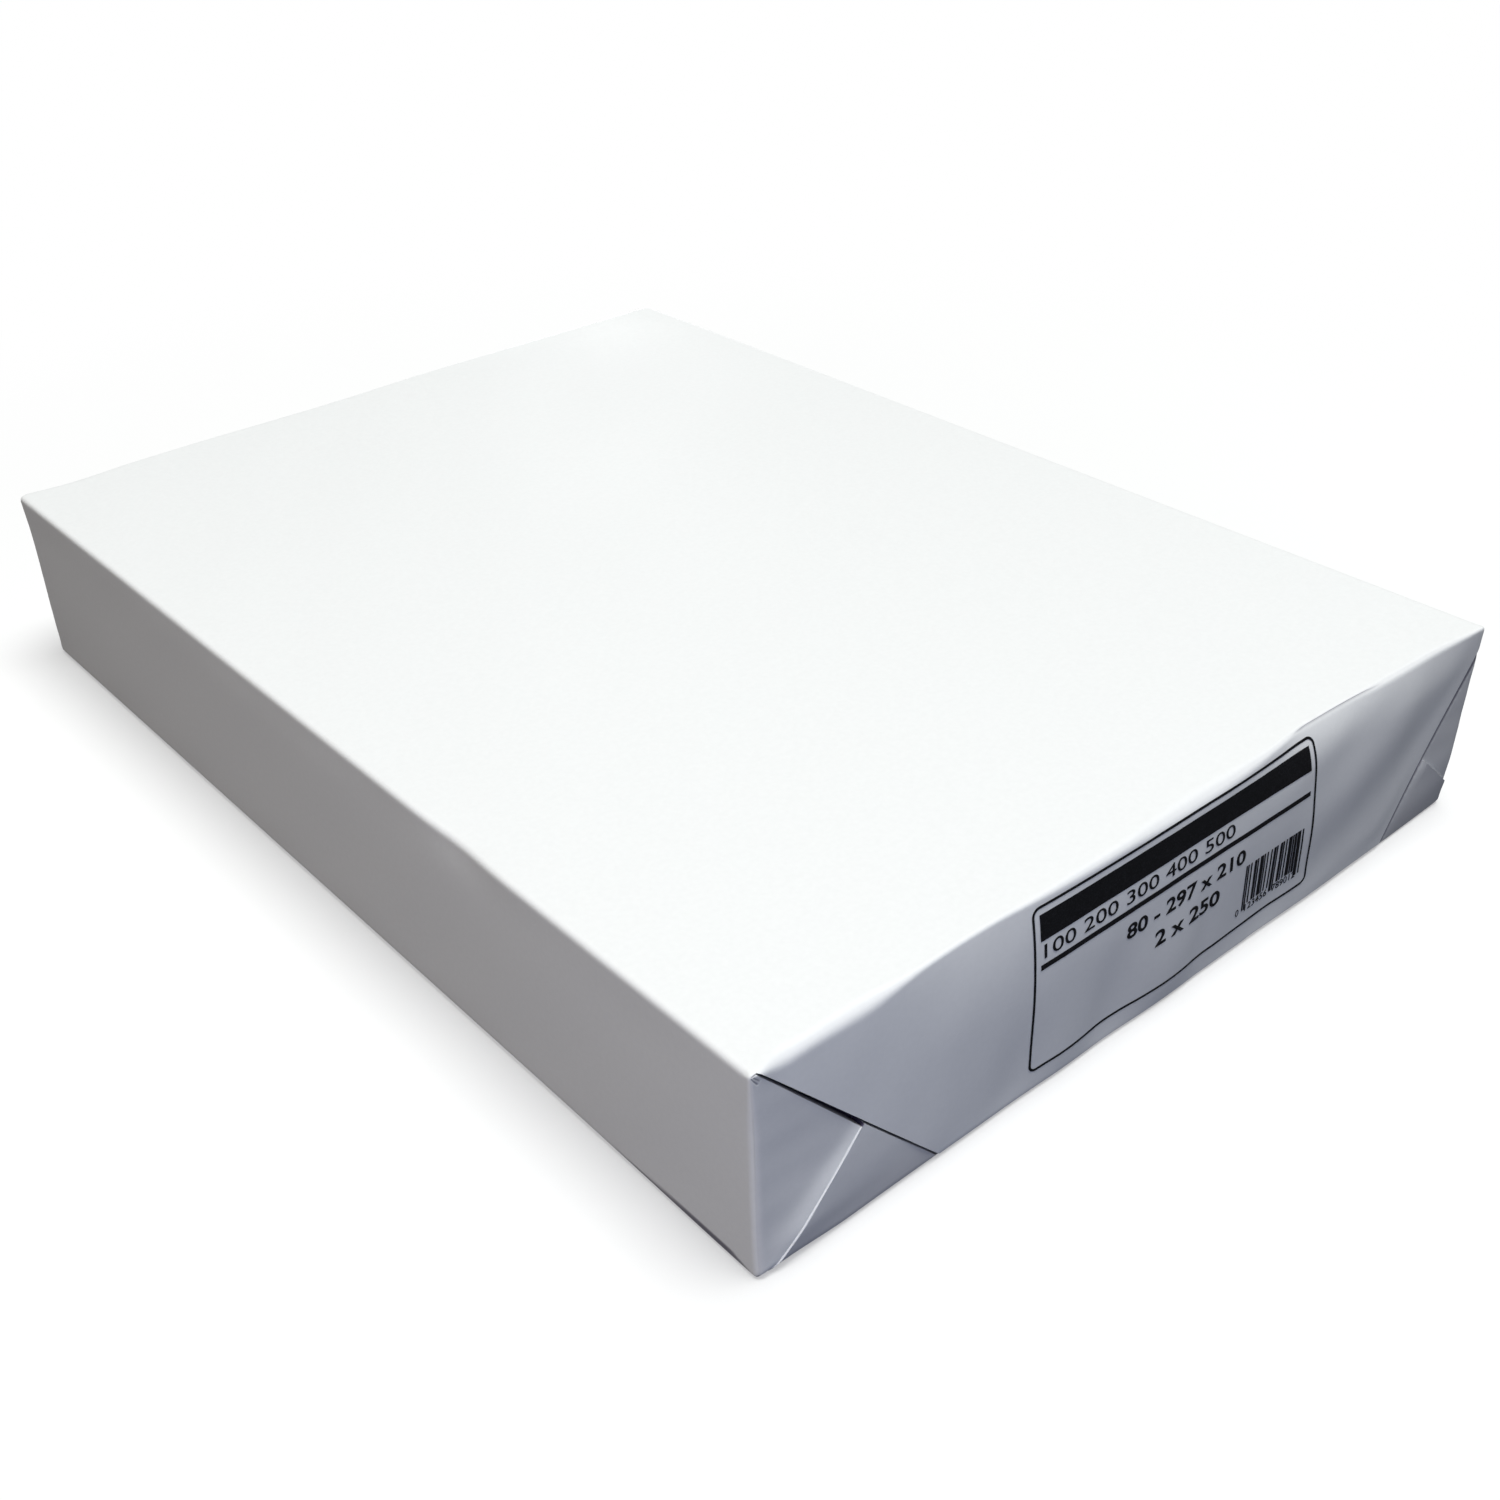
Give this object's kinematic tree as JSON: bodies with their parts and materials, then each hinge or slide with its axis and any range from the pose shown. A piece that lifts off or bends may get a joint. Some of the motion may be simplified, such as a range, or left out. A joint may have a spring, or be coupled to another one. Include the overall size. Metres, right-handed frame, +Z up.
{
  "type": "ream of paper",
  "caption": "Sealed ream of A4 office paper lying flat in a plain white paper wrapper, its ends folded shut with overlapping flaps and a small black print on one end.",
  "frame": {"origin": "middle of the underside, on the surface the ream lies on", "axes": "+X across the printed end from its left as seen, -Y out of the printed end, +Z up"},
  "size_m": [0.211, 0.3005, 0.0475],
  "materials": {
    "wrapper_paper": "matte white wrapping paper, very faintly satin",
    "black_ink": "flat black ink printed on the wrapper"
  },
  "bodies": {
    "root": {"wrapped_ream": "wrapper_paper", "end_print": "black_ink"}
  },
  "joints": []
}
